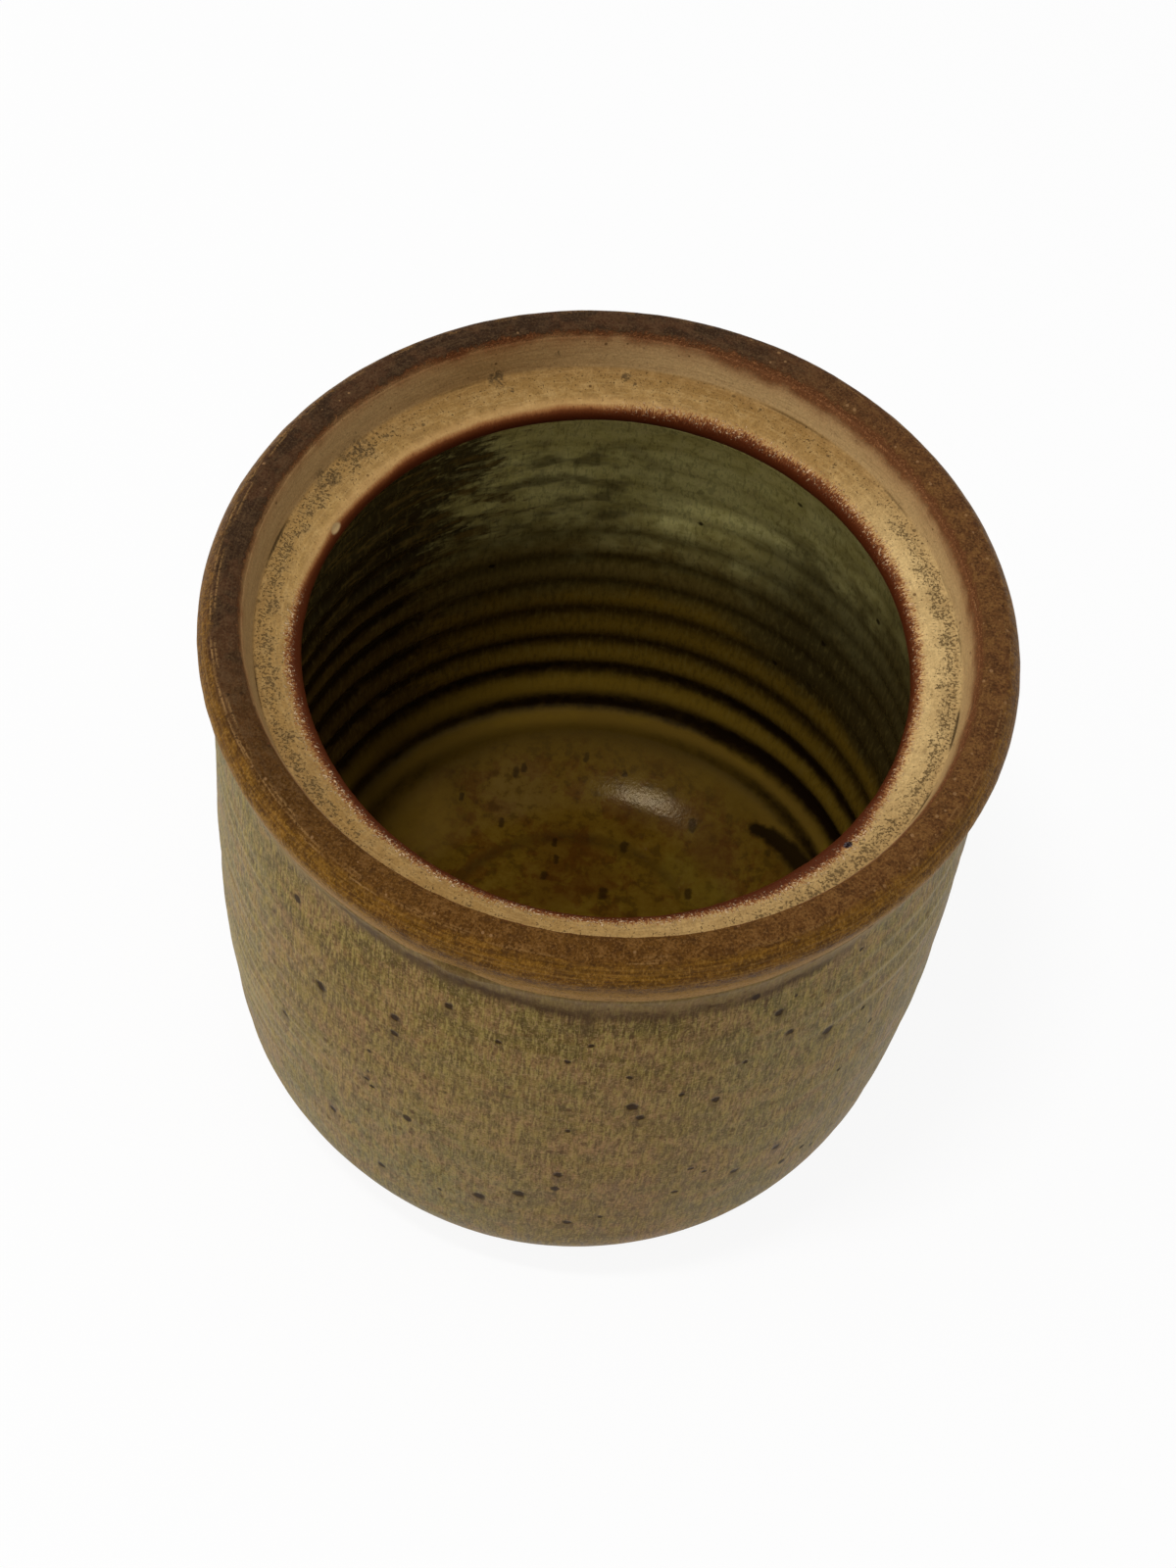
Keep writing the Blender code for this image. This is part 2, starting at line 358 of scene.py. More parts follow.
def shape_ash_glaze():
    """Ash glaze: its rolled upper edge, the side with its throwing ridges, and its edge at the foot."""
    down_side = np.array(smooth_rows(glazed_side[:3], 0.3) + smooth_rows(glazed_side[2:], 0.82)[1:])
    glaze = Turned("ash_glaze_on_side", [
        (down_side, True),
        (beside(smooth_rows(glazed_side, 6), -0.9)[::-1], False)], 440)
    angle, degrees, height, along = glaze.angle, glaze.degrees, glaze.height, glaze.along
    above_end = lengths(down_side)[-1] - along
    top_shift = glaze_drop(degrees) + 0.35 * swell(angle, 0, 71, 9, 60) + 0.5 * swell(angle, 0, 73, 60, 60)
    end_shift = 0.5 * swell(angle, 0, 72, 7, 60)
    glaze.slide(down_side, top_shift * held(1 - along / 30) + end_shift * held(1 - above_end / 6))
    climb = height + 23 * (degrees + 90) / 360
    from_front = turn_gap(degrees, -92)
    to_right = held(from_front / 30) * held((150 - from_front) / 30)
    ridges = 0
    for seed, spacing, start, width, where in (
            (82, 5.75, 0.4, 0.75, 1 - to_right),
            (83, 5.75, 2.2, 0.55, 1 - to_right),
            (84, 5.75, 4.1, 0.65, 1 - to_right),
            (86, 9.2, 3, 1.1, to_right)):
        off = (climb - start + 0.7 * swell(angle, height, seed + 10, 4, 50)) % spacing - spacing / 2
        ridges += hump(off, 0, width) * where * held(0.25 + swell(angle, height, seed, 5, 26))
    away_from_front = np.where(from_front > 0, from_front / 22 - 1.6, -from_front / 24 - 1.1)
    ridges *= np.clip(away_from_front, 0.12, 1)
    on_side = held((along - 12) / 10) * glaze.shown
    fat = glaze.dab(-104.5, 5, 0.2, 0.9)
    glaze.raise_by((0.36 * ridges + 0.1 * swell(angle, height, 85, 12, 18)) * on_side
                   - 0.3 * held(1 - along / 1.4) + 0.08 * hump(along, 2.2, 1) + 1.1 * fat
                   - 0.25 * held(1 - above_end / 0.6) + 0.2 * hump(above_end, 1.6, 1.2)
                   - 0.06 + 0.02 * grain(glaze.places, 2.2, 6))
    # The ridges are kept for the finish, which paints a highlight along them.
    glaze.keep("line", ridges * on_side)
    glaze.keep("fat", fat)
    glaze.keep("below", along * (1 - glaze_drop(degrees) / 30))
    return glaze


def colour(red, green, blue):
    """A colour given as it looks on screen, 0 to 255, for a shader's socket."""
    return tuple(c / 12.92 if c <= 0.04045 else ((c + 0.055) / 1.055) ** 2.4
                 for c in (red / 255, green / 255, blue / 255))


class Paint:
    """Builds one material. Its coordinates are the jar's own, in millimetres."""

    def __init__(self, name, radius=78.5):
        """The radius is that of the skin that marks are placed on."""
        self.skin_radius = radius
        self.material = bpy.data.materials.new(name)
        self.material.use_nodes = True
        self.tree = self.material.node_tree
        self.shader = self.tree.nodes["Principled BSDF"]
        self.here = self.scaled(self.node("ShaderNodeTexCoord").outputs["Object"], 1 / mm)
        self.height = self.node("ShaderNodeSeparateXYZ", {0: self.here}).outputs[2]
        flat = self.vector("MULTIPLY", self.here, (1, 1, 0))
        self.radius = self.length(flat)
        self.outward = self.vector("NORMALIZE", flat)
        self.fine_jolt, self.broad_jolt = self.jolt(0.9, 1.1), self.jolt(0.16, 8.0)
        self.skin = self.vector("ADD", self.wrapped(radius, self.height), self.fine_jolt)

    def node(self, kind, inputs=None, **settings):
        made = self.tree.nodes.new(kind)
        for key, value in settings.items():
            setattr(made, key, value)
        for key, value in (inputs or {}).items():
            self.put(made.inputs[key], value)
        return made

    def put(self, socket, value):
        if isinstance(value, bpy.types.NodeSocket):
            self.tree.links.new(value, socket)
        elif socket.type == "RGBA":
            socket.default_value = (*value, 1)
        else:
            socket.default_value = value

    def kept(self, key):
        """A number that the mesh keeps for each point."""
        return self.node("ShaderNodeAttribute", attribute_name=key).outputs["Fac"]

    def number(self, kind, first, second):
        return self.node("ShaderNodeMath", {0: first, 1: second}, operation=kind).outputs[0]

    def vector(self, kind, first, second=(0, 0, 0)):
        return self.node("ShaderNodeVectorMath", {0: first, 1: second}, operation=kind).outputs[0]

    def scaled(self, value, factor):
        return self.vector("MULTIPLY", value, (factor, factor, factor))

    def length(self, value):
        return self.node("ShaderNodeVectorMath", {0: value}, operation="LENGTH").outputs[1]

    def dot(self, first, second):
        return self.node("ShaderNodeVectorMath", {0: first, 1: second}, operation="DOT_PRODUCT").outputs[1]

    def times(self, *values):
        return functools.reduce(functools.partial(self.number, "MULTIPLY"), values)

    def plus(self, *values):
        return functools.reduce(functools.partial(self.number, "ADD"), values)

    def either(self, *values):
        return functools.reduce(functools.partial(self.number, "MAXIMUM"), values)

    def without(self, value):
        return self.number("SUBTRACT", 1.0, value)

    def step(self, value, low, high):
        """0 below low and 1 above high, smoothly; low above high turns it round."""
        return self.node("ShaderNodeMapRange", {0: value, 1: low, 2: high, 3: 0.0, 4: 1.0},
                         interpolation_type="SMOOTHSTEP").outputs[0]

    def slope(self, value, low, high, first, last):
        """From first to last on a straight line as the value goes from low to high."""
        return self.node("ShaderNodeMapRange", {0: value, 1: low, 2: high, 3: first, 4: last}).outputs[0]

    def band(self, value, low, high, soft):
        """1 from low to high, 0 outside, with soft ends."""
        rise, fall = self.step(value, low - soft, low + soft), self.step(value, high + soft, high - soft)
        return self.times(rise, fall)

    def above(self, value, level, soft=0.04):
        return self.step(value, level - soft, level + soft)

    def below(self, value, level, soft=0.04):
        return self.step(value, level + soft, level - soft)

    def sector(self, azimuth, half, soft):
        """1 within half degrees of an azimuth, 0 beyond that and soft more."""
        facing = (math.cos(math.radians(azimuth)), math.sin(math.radians(azimuth)), 0)
        outer, inner = math.radians(min(180, half + soft)), math.radians(half)
        return self.step(self.dot(self.outward, facing), math.cos(outer), math.cos(inner))

    def wrapped(self, radius, level):
        """Place on a plain cylinder: round the axis at one radius, and up by a level."""
        up = self.node("ShaderNodeCombineXYZ", {2: level}).outputs[0]
        return self.vector("ADD", self.scaled(self.outward, radius), up)

    def noise(self, size, detail=2.0, rough=0.5, warp=0.0, seed=0, where=None):
        """Noise round 0.5 with features of about size millimetres, one size or one for each axis."""
        sizes = size if isinstance(size, tuple) else (size, size, size)
        where = self.vector("MULTIPLY", where or self.here, tuple(1 / s for s in sizes))
        if seed:
            where = self.vector("ADD", where, (seed * 7.3, seed * 3.1, seed * 5.7))
        return self.node("ShaderNodeTexNoise", {"Vector": where, "Scale": 1.0, "Detail": float(detail),
                                                "Roughness": rough, "Distortion": warp}).outputs[0]

    def swing(self, value, reach):
        """A noise turned into a shift of about plus or minus reach."""
        return self.slope(value, 0.3, 0.7, -reach, reach)

    def jolt(self, scale, reach):
        """A shift that wanders from place to place, for uneven outlines."""
        noise = self.node("ShaderNodeTexNoise", {"Vector": self.here, "Scale": scale, "Detail": 2.0})
        return self.scaled(self.vector("SUBTRACT", noise.outputs[1], (0.5, 0.5, 0.5)), reach)

    def spots(self, spacing, size, share, stretch=1.0, shift=0.0):
        """Random round spots, one in some cells of a grid: about share of the cells have one."""
        where = self.vector("MULTIPLY", self.here, (1 / spacing, 1 / spacing, 1 / spacing / stretch))
        where = self.vector("ADD", where, (shift, shift, shift))
        cells = self.node("ShaderNodeTexVoronoi", {"Vector": where, "Scale": 1.0})
        chance = self.node("ShaderNodeSeparateColor", {0: cells.outputs["Color"]}).outputs[0]
        rest = self.without(share)
        reach = self.times(self.step(chance, rest, 1.0), size / spacing)
        inside = self.number("DIVIDE", cells.outputs["Distance"], self.plus(reach, 0.0001))
        return self.times(self.step(inside, 1.0, 0.6), self.number("GREATER_THAN", chance, rest))

    def mark(self, azimuth, height, size, tall=1.0):
        """One soft-edged spot on the skin, with an uneven outline; size is its radius."""
        angle = math.radians(azimuth)
        centre = (self.skin_radius * math.cos(angle), self.skin_radius * math.sin(angle), height)
        away = self.vector("SUBTRACT", self.skin, centre)
        share = self.vector("MULTIPLY", away, (1 / size, 1 / size, 1 / size / tall))
        return self.step(self.length(share), 1.3, 0.6)

    def blob(self, x, y, z, size):
        """One soft patch round a place; a large one has a wandering outline."""
        jolt = self.fine_jolt if size < 3 else self.broad_jolt
        away = self.vector("SUBTRACT", self.vector("ADD", self.here, jolt), (x, y, z))
        return self.step(self.length(away), size * 1.3, size * 0.5)

    def stroke(self, start, end, size):
        """A soft-edged line from one place to another; size is half its width."""
        start, run = Vector(start), Vector(end) - Vector(start)
        away = self.vector("SUBTRACT", self.vector("ADD", self.here, self.fine_jolt), tuple(start))
        share = self.slope(self.dot(away, tuple(run / run.length_squared)), 0, 1, 0, 1)
        nearest = self.node("ShaderNodeVectorMath", {0: tuple(run), "Scale": share},
                            operation="SCALE").outputs[0]
        return self.step(self.length(self.vector("SUBTRACT", away, nearest)), size * 1.3, size * 0.5)

    def mix(self, share, first, second, kind="MIX"):
        return self.node("ShaderNodeMix", {0: share, 6: first, 7: second}, data_type="RGBA",
                         blend_type=kind).outputs[2]

    def layers(self, base, *coats):
        """Colours laid over each other: a coat is the shares that its cover is made of, then its colour."""
        for *shares, over in coats:
            base = self.mix(self.times(*shares), base, over)
        return base

    def shade(self, base, value):
        """The colour made lighter or darker: value 1 leaves it."""
        grey = self.node("ShaderNodeCombineColor", {0: value, 1: value, 2: value}).outputs[0]
        return self.mix(1.0, base, grey, "MULTIPLY")

    def finish(self, base, roughness, height, depth, level):
        """Sets the shader; height times depth is a relief in millimetres, and level is the gloss."""
        self.put(self.shader.inputs["Base Color"], base)
        self.put(self.shader.inputs["Roughness"], roughness)
        self.shader.inputs["Specular IOR Level"].default_value = level
        self.shader.inputs["Specular Tint"].default_value = (1, 0.8, 0.5, 1)
        self.shader.inputs["IOR"].default_value = 1.5
        bump = self.node("ShaderNodeBump", {"Strength": 1.0, "Distance": depth * mm, "Height": height})
        self.put(self.shader.inputs["Normal"], bump.outputs[0])
        return self.material


def gallery_wall_colour(paint):
    """Buff wall, turning rust towards the inner arris, where the iron wash goes on in the same colour."""
    drag = paint.noise((6, 6, 0.5), 3, 0.6, seed=2)
    broad, fine = paint.noise(6, 2, seed=3), paint.noise(0.5, 3, 0.7, seed=4)
    left_side = paint.sector(185, 40, 30)
    wall = paint.layers(
        paint.mix(paint.either(paint.sector(15, 60, 50), paint.times(left_side, 0.5)),
                  colour(138, 106, 64), colour(184, 152, 104)),
        (paint.above(drag, 0.56), 0.2, colour(184, 150, 100)),
        (paint.below(drag, 0.43), 0.25, colour(122, 92, 56)))
    level = paint.plus(paint.height, paint.swing(broad, 0.8), paint.swing(fine, 0.5),
                       paint.times(paint.sector(25, 38, 34), 1.7), paint.times(left_side, -1.1))
    rust = paint.mix(paint.above(fine, 0.58, 0.05), colour(92, 46, 22), colour(140, 88, 52))
    return paint.layers(
        wall,
        (paint.step(level, 146.0, 150.0), 0.35, colour(140, 92, 54)),
        (paint.step(level, 148.6, 151.6), 0.88, rust))


def ledge_buff(paint, broad, cloud, on_ring):
    """Buff of the bare ledge: pale at the right, darker at the back and front, cloudy all over."""
    drag = paint.noise((6, 6, 0.55), 3, 0.6, seed=5, where=on_ring)
    return paint.layers(
        colour(170, 134, 78),
        (paint.sector(0, 50, 50), colour(218, 186, 128)),
        (paint.sector(92, 34, 34), colour(150, 114, 62)),
        (paint.sector(-90, 45, 40), 0.5, colour(150, 112, 58)),
        (paint.above(broad, 0.54, 0.1), 0.35, colour(150, 116, 70)),
        (paint.below(cloud, 0.46, 0.12), 0.35, colour(140, 110, 66)),
        (paint.above(cloud, 0.54, 0.12), 0.3, colour(206, 170, 112)),
        (paint.above(drag, 0.57), 0.2, colour(202, 168, 112)),
        (paint.below(drag, 0.42), 0.2, colour(142, 110, 64)),
        (paint.step(paint.kept("along"), 15.2, 17.6), 0.3, colour(132, 98, 56)))


def sandy_edge(paint, base, cloud):
    """Sand and smudges on the outer part of the ledge: the colour, the smudges and the sand."""
    along = paint.kept("along")
    share = paint.either(
        paint.times(paint.sector(-12, 34, 30), 0.85), paint.times(paint.sector(185, 36, 26), 0.75),
        paint.times(paint.sector(-90, 40, 30), 0.3), 0.28)
    outer = paint.times(paint.band(paint.plus(along, paint.swing(cloud, 1.4)), 13.6, 17.5, 1.7), share)
    smudge = paint.times(paint.step(cloud, 0.4, 0.6), outer)
    sand = paint.plus(paint.noise(0.55, 3, 0.75, 0.4, seed=12), paint.times(outer, 0.125),
                      paint.times(smudge, 0.05))
    pepper = paint.either(
        paint.step(sand, 0.64, 0.69), paint.spots(1.4, 0.45, paint.times(outer, 0.4), shift=4.4))
    speck = paint.either(paint.spots(2.2, 0.45, 0.2, shift=7.1), paint.spots(1.2, 0.22, 0.2, shift=3.3))
    base = paint.layers(
        base,
        (smudge, paint.slope(paint.sector(0, 50, 30), 0, 1, 0.6, 0.45), colour(118, 94, 58)),
        (paint.step(paint.kept("pits"), 0.15, 0.7), 0.4, colour(92, 70, 40)),
        (pepper, paint.band(along, 10.5, 17.8, 0.5), 0.75, colour(80, 62, 38)),
        (speck, paint.band(along, 9, 26, 1), 0.75, colour(78, 52, 28)),
        (paint.step(paint.kept("crease"), 0.25, 0.8), 0.85, colour(52, 37, 20)))
    return base, smudge, pepper


def rust_lip(paint, base, broad, on_ring):
    """Rust line along the lip, feathered and grainy but for one smooth stretch, under a painted cream
    highlight on the lip's roll: colour and grains.
    """
    along = paint.kept("along")
    smooth_side = paint.sector(136, 36, 14)
    front_left = paint.sector(-110, 60, 40)
    feather = paint.noise((0.3, 0.3, 0.9), 3, 0.65, seed=7, where=on_ring)
    ragged = paint.times(paint.swing(feather, 1.3), paint.slope(smooth_side, 0, 1, 1, 0.15))
    wide_rust = paint.plus(
        paint.times(paint.sector(10, 60, 30), 0.9), paint.times(paint.sector(-105, 60, 30), 2.5))
    line = paint.plus(along, ragged, paint.swing(broad, 0.3), paint.times(wide_rust, -1.0))
    chance = paint.plus(paint.noise(0.55, 2, 0.6, seed=8), paint.times(front_left, 0.01))
    grains = paint.times(paint.above(chance, 0.6, 0.03), paint.band(line, 7.4, 10.0, 0.5),
                         paint.without(smooth_side))
    base = paint.layers(
        base,
        # A cream band along the top of the lip's roll: painted highlight.
        (paint.step(along, 11.6, 9.6), 0.5, colour(206, 162, 104)),
        (paint.step(line, 9.7, 8.7), 0.75, colour(140, 82, 42)),
        (paint.step(line, 9.0, 8.0), 0.9, colour(98, 46, 20)),
        (paint.step(line, 8.4, 6.8), 0.85, colour(72, 28, 10)),
        (grains, 0.8, paint.mix(front_left, colour(222, 182, 140), colour(232, 198, 158))),
        (paint.step(paint.kept("chip"), 0.25, 0.6), colour(182, 152, 106)))
    return base, grains


# Dark smears on the ledge and gallery wall: place and radius of each
ledge_smears = [
    (-31, 62.2, 143.3, 2), (-30, 60.4, 142.4, 1.1), (-27.6, 59.6, 142.2, 0.9), (-4, 67.4, 142.6, 1.1),
    (-61, 29.8, 142.6, 2.9), (-58.6, 36.6, 142.6, 1.6), (-55.4, 38.6, 142.6, 2.6), (-18.8, 67.6, 147, 0.7)]


def buff_clay():
    """Bare fired clay: a buff ledge and gallery with a sandy outer part, and a rust-coloured lip."""
    paint = Paint("bare_buff_stoneware", 69)
    on_ring = paint.wrapped(62, paint.kept("along"))
    fine = paint.noise(0.45, 3, 0.6)
    broad = paint.noise(9, 3, 0.55, seed=1)
    cloud = paint.noise(2.6, 3, 0.6, 0.3, seed=9)
    base = paint.mix(paint.step(paint.kept("along"), 17.6, 18.6),
                     ledge_buff(paint, broad, cloud, on_ring), gallery_wall_colour(paint))
    base = paint.shade(base, paint.slope(fine, 0.3, 0.7, 0.82, 1.18))
    base, smudge, pepper = sandy_edge(paint, base, cloud)
    base, grains = rust_lip(paint, base, broad, on_ring)
    smear = paint.either(*(paint.blob(*place) for place in ledge_smears))
    smear_grain = paint.above(paint.noise(1.2, 4, 0.7, 0.5, seed=13), 0.5, 0.06)
    bead = paint.step(paint.kept("bead"), 0.3, 0.55)
    foot = paint.mix(broad, colour(146, 114, 74), colour(170, 138, 94))
    base = paint.layers(
        base,
        (smear, smear_grain, 0.8, colour(76, 60, 40)),
        (bead, paint.mix(paint.above(fine, 0.55), colour(26, 18, 22), colour(120, 108, 112))),
        (paint.step(paint.height, 8, 6), foot))
    relief = paint.plus(paint.times(fine, 0.5), paint.times(pepper, -0.8), grains)
    rough = paint.plus(paint.slope(smudge, 0, 1, 0.5, 0.75), paint.times(bead, -0.42))
    paint.put(paint.shader.inputs["Metallic"], paint.times(bead, 0.5))
    return paint.finish(base, rough, relief, depth=0.16, level=0.1)


def rim_top_colour(paint, patch, cloud, fine, streak):
    """Grainy brown of the rim's top, darkest at the back left."""
    dark_side = paint.sector(142, 62, 46)
    more_right = paint.plus(0.1, paint.times(paint.sector(-10, 60, 30), 0.3))
    return paint.layers(
        paint.mix(dark_side,
                  paint.mix(paint.above(patch, 0.5, 0.1), colour(106, 71, 36), colour(90, 57, 29)),
                  paint.mix(paint.above(patch, 0.5, 0.06), colour(77, 51, 33), colour(54, 38, 26))),
        (paint.sector(-92, 40, 40), 0.6, colour(92, 58, 10)),
        (paint.sector(0, 44, 36), 0.5, colour(106, 68, 40)),
        (paint.above(cloud, 0.55, 0.06), 0.45, paint.mix(dark_side, colour(128, 90, 48), colour(90, 66, 44))),
        (paint.below(cloud, 0.45, 0.08), 0.4, colour(58, 36, 20)),
        (paint.above(fine, 0.58, 0.05), 0.4, paint.mix(dark_side, colour(146, 106, 60), colour(104, 80, 54))),
        (paint.below(fine, 0.42, 0.05), 0.5, colour(42, 26, 15)),
        (paint.above(streak, 0.56, 0.05), dark_side, 0.3, colour(92, 70, 46)),
        (paint.spots(1.5, 0.5, more_right, shift=6.2), 0.6, colour(158, 120, 80)),
        (paint.spots(2.4, 0.5, 0.2, shift=1.7), 0.6, colour(40, 26, 16)))


def iron_wash():
    """Dry grainy brown on the rim's top, honey on its rolled face, peach at its thin lower edge."""
    paint = Paint("iron_wash_brown_to_honey")
    along = paint.kept("along")
    around = paint.wrapped(79, along)
    patch = paint.noise(7, 3, 0.6, 0.4, seed=1)
    cloud = paint.noise(2.2, 4, 0.66, 0.5, seed=2)
    fine = paint.noise(0.5, 3, 0.65, seed=3)
    fleck = paint.noise((0.5, 0.5, 0.8), 3, 0.65, seed=5, where=around)
    streak = paint.noise((8, 8, 0.5), 3, 0.6, seed=4, where=around)
    honey_side = paint.sector(-98, 48, 44)
    thin = paint.mix(honey_side, colour(140, 104, 64), colour(146, 106, 38))
    peach = paint.mix(honey_side, colour(160, 128, 84), colour(162, 122, 66))
    face = paint.layers(
        paint.mix(honey_side, colour(96, 66, 36), colour(102, 67, 14)),
        (paint.above(patch, 0.52, 0.08), 0.4, colour(96, 58, 28)),
        (paint.above(streak, 0.55), 0.4, colour(142, 100, 34)),
        (paint.below(streak, 0.45), 0.45, colour(66, 40, 14)),
        (paint.above(cloud, 0.55, 0.06), 0.4, colour(134, 92, 32)),
        (paint.below(cloud, 0.45, 0.06), 0.4, colour(70, 44, 18)))
    place = paint.plus(
        paint.kept("face"), paint.swing(patch, 0.8), paint.swing(cloud, 0.8), paint.swing(fine, 0.5))
    over_face = paint.step(place, 7.4, 9.6)
    base = paint.layers(
        paint.mix(over_face, rim_top_colour(paint, patch, cloud, fine, streak), face),
        (paint.step(place, 11.2, 14.0), 0.8, thin),
        (paint.step(place, 14.4, 16.8), 0.85, peach),
        (paint.above(fleck, 0.58, 0.05), over_face, 0.4, colour(164, 122, 58)),
        (paint.below(fleck, 0.42, 0.05), over_face, 0.5, colour(66, 40, 14)),
        (paint.kept("line"), paint.band(along, 8.5, 14, 1), 0.35, colour(150, 112, 62)),
        (paint.kept("arris"), paint.above(fine, 0.45, 0.05), 0.8, colour(156, 118, 72)))
    inner = paint.plus(along, paint.swing(fine, 0.5), paint.swing(cloud, 0.6))
    base = paint.mix(paint.step(inner, 2.7, 1.5), base, gallery_wall_colour(paint))
    rough = paint.slope(over_face, 0, 1, 0.7, 0.45)
    return paint.finish(base, rough, paint.plus(cloud, fine), depth=0.5, level=0.05)


# Iron specks that show in the photograph: azimuth and height of each, by size
big_specks = [(-78, 96), (-98.5, 45), (-92.5, 51.5), (-48, 103.5), (-127, 101)]
middle_specks = [
    (-76.5, 91), (-113.5, 103.5), (-113.5, 109.5), (-115.5, 37), (-87, 64.5), (-84.5, 37.5), (-65.5, 93.5),
    (-52, 56), (-59, 53), (-55.5, 112), (-105.5, 123), (-58, 121.5), (-125, 49), (-135.5, 73)]
small_specks = [
    (-88, 113.5), (-85, 120), (-105, 40.5), (-79.5, 41), (-71, 99), (-45, 43.5), (-42.5, 39.5), (-64.5, 59),
    (-67, 62.5), (-68.5, 51), (-62, 106.5), (-79, 108), (-98, 116), (-44.5, 129), (-117, 75), (-118, 77),
    (-86.5, 85), (-38, 91.5), (-41, 102), (-37, 55.5), (-43, 79)]
faint_specks = [
    (-74.5, 88), (-116, 101), (-108, 88), (-107, 80), (-93.5, 40), (-90, 92), (-76.5, 75.5), (-73.5, 107.5),
    (-108.5, 106), (-59, 78.5), (-84, 80)]


def neck_colour(paint, base, below, cloud):
    """The glaze's upper edge: thin and pale all round, with a dark line a little lower at the front, of
    pooled glaze and painted shade under the rim.
    """
    front = paint.sector(-86, 30, 16)
    left_line = paint.times(paint.sector(-118, 10, 20), 3.0)
    # A dark line in the cove below the rim at the front: pooled glaze, and painted shade under the rim.
    pooled_glaze_and_shade_line = paint.times(paint.band(paint.plus(below, left_line), 6.2, 9.6, 1.6), front)
    return paint.layers(
        base,
        (paint.step(below, 9.0, 5.0), 0.6, paint.mix(front, colour(130, 103, 52), colour(114, 90, 54))),
        (pooled_glaze_and_shade_line, paint.slope(cloud, 0.38, 0.62, 0.55, 0.95), colour(66, 44, 22)),
        (paint.step(below, 2.6, 0.8), paint.without(front), 0.5, colour(152, 120, 80)),
        (paint.mark(-86, 127, 1.6, 2.2), 0.6, colour(78, 56, 30)))


def speckled(paint, base):
    """Random specks all round, more of the large ones at the back, and over them those of the photograph."""
    more_behind = paint.slope(paint.sector(90, 120, 20), 0, 1, 0.1, 0.4)
    heads = [paint.mark(*place, 1.35, 1.15) for place in big_specks]
    heads += [paint.mark(*place, 0.95, 1.15) for place in middle_specks]
    heads += [paint.mark(*place, 0.65, 1.1) for place in small_specks]
    tails = [paint.mark(azimuth, height - 1.3, 1.5, 1.8) for azimuth, height in big_specks + middle_specks]
    faint = [paint.mark(*place, 0.65, 1.2) for place in faint_specks]
    head = paint.either(*heads)
    base = paint.layers(
        base,
        (paint.spots(2.4, 0.8, 0.5, stretch=1.3, shift=2.2), 0.6, colour(78, 50, 26)),
        (paint.spots(8, 1.4, more_behind, stretch=1.2, shift=5.5), 0.9, colour(38, 22, 10)),
        (paint.either(*tails), 0.45, colour(82, 62, 38)),
        (paint.either(*faint), 0.6, colour(80, 52, 28)),
        (head, 0.97, colour(46, 29, 7)))
    return base, head


def ash_glaze():
    """Khaki ash glaze with hair-fine runs, olive and pinkish mottles, iron specks, painted highlights on the
    throwing ridges and a painted sheen at the left edge.
    """
    paint = Paint("ash_glaze_khaki")
    on_side = paint.wrapped(78, paint.height)
    pale_hair, dark_hair = (paint.noise((0.5, 0.5, 4.0), 3, 0.6, seed=seed, where=on_side) for seed in (1, 2))
    run = paint.noise((1.4, 1.4, 7), 3, 0.6, seed=3, where=on_side)
    grit = paint.noise(0.6, 3, 0.65, seed=4)
    cloud = paint.noise((3.2, 3.2, 3.0), 4, 0.62, 0.4, seed=5)
    mottle = paint.noise((12, 12, 9), 4, 0.62, 0.5, seed=6)
    patch = paint.noise(26, 3, 0.55, seed=7)
    # Grey green at the left front low down, at the right and at the left edge; at the left edge it is also a
    # painted sheen.
    grey_green_and_edge_sheen = paint.either(
        paint.times(paint.sector(-130, 24, 22), paint.step(paint.height, 100, 50)),
        paint.times(paint.sector(-30, 26, 18), 0.7), paint.sector(-165, 14, 20))
    under_neck = paint.step(paint.height, 92, 126)
    base = paint.layers(
        colour(118, 93, 47),
        (paint.above(patch, 0.5, 0.08), 0.7, colour(133, 101, 62)),
        (under_neck, 0.7, colour(104, 81, 21)),
        (under_neck, paint.sector(-114, 34, 26), 0.65, colour(90, 73, 24)),
        (grey_green_and_edge_sheen, 0.85, colour(128, 123, 84)),
        (paint.above(mottle, 0.53, 0.06), 0.6, colour(150, 112, 75)),
        (paint.below(mottle, 0.46, 0.06), 0.5, colour(104, 94, 48)),
        (paint.above(cloud, 0.55, 0.06), 0.4, colour(148, 120, 70)),
        (paint.below(cloud, 0.45, 0.06), 0.35, colour(92, 73, 36)),
        (paint.above(run, 0.55), 0.4, colour(142, 120, 62)),
        (paint.below(run, 0.45), 0.45, colour(86, 67, 31)),
        (paint.above(pale_hair, 0.55, 0.05), paint.slope(paint.height, 50, 125, 0.4, 0.7),
         colour(156, 136, 74)),
        (paint.below(dark_hair, 0.45, 0.05), 0.55, colour(74, 56, 24)),
        (paint.above(grit, 0.58, 0.05), 0.5, colour(164, 132, 92)),
        (paint.below(grit, 0.41, 0.05), 0.55, colour(70, 48, 24)),
        # Pale along the throwing ridges, less so at the back: painted highlight.
        (paint.kept("line"), paint.slope(paint.sector(90, 70, 50), 0, 1, 0.5, 0.2), colour(176, 160, 118)))
    below = paint.plus(paint.kept("below"), paint.swing(mottle, 0.7), paint.swing(cloud, 0.7),
                       paint.swing(dark_hair, 0.6))
    base, head = speckled(paint, neck_colour(paint, base, below, cloud))
    foot_edge = paint.step(paint.plus(paint.height, paint.swing(cloud, 0.8)), 7.2, 5.4)
    base = paint.mix(foot_edge, base, colour(112, 76, 42))
    relief = paint.plus(paint.times(dark_hair, 0.5), paint.times(run, 0.6), paint.times(head, -1.2))
    rough = paint.plus(paint.slope(run, 0.35, 0.65, 0.4, 0.52), paint.times(paint.kept("fat"), -0.3))
    return paint.finish(base, rough, relief, depth=0.14, level=0.03)


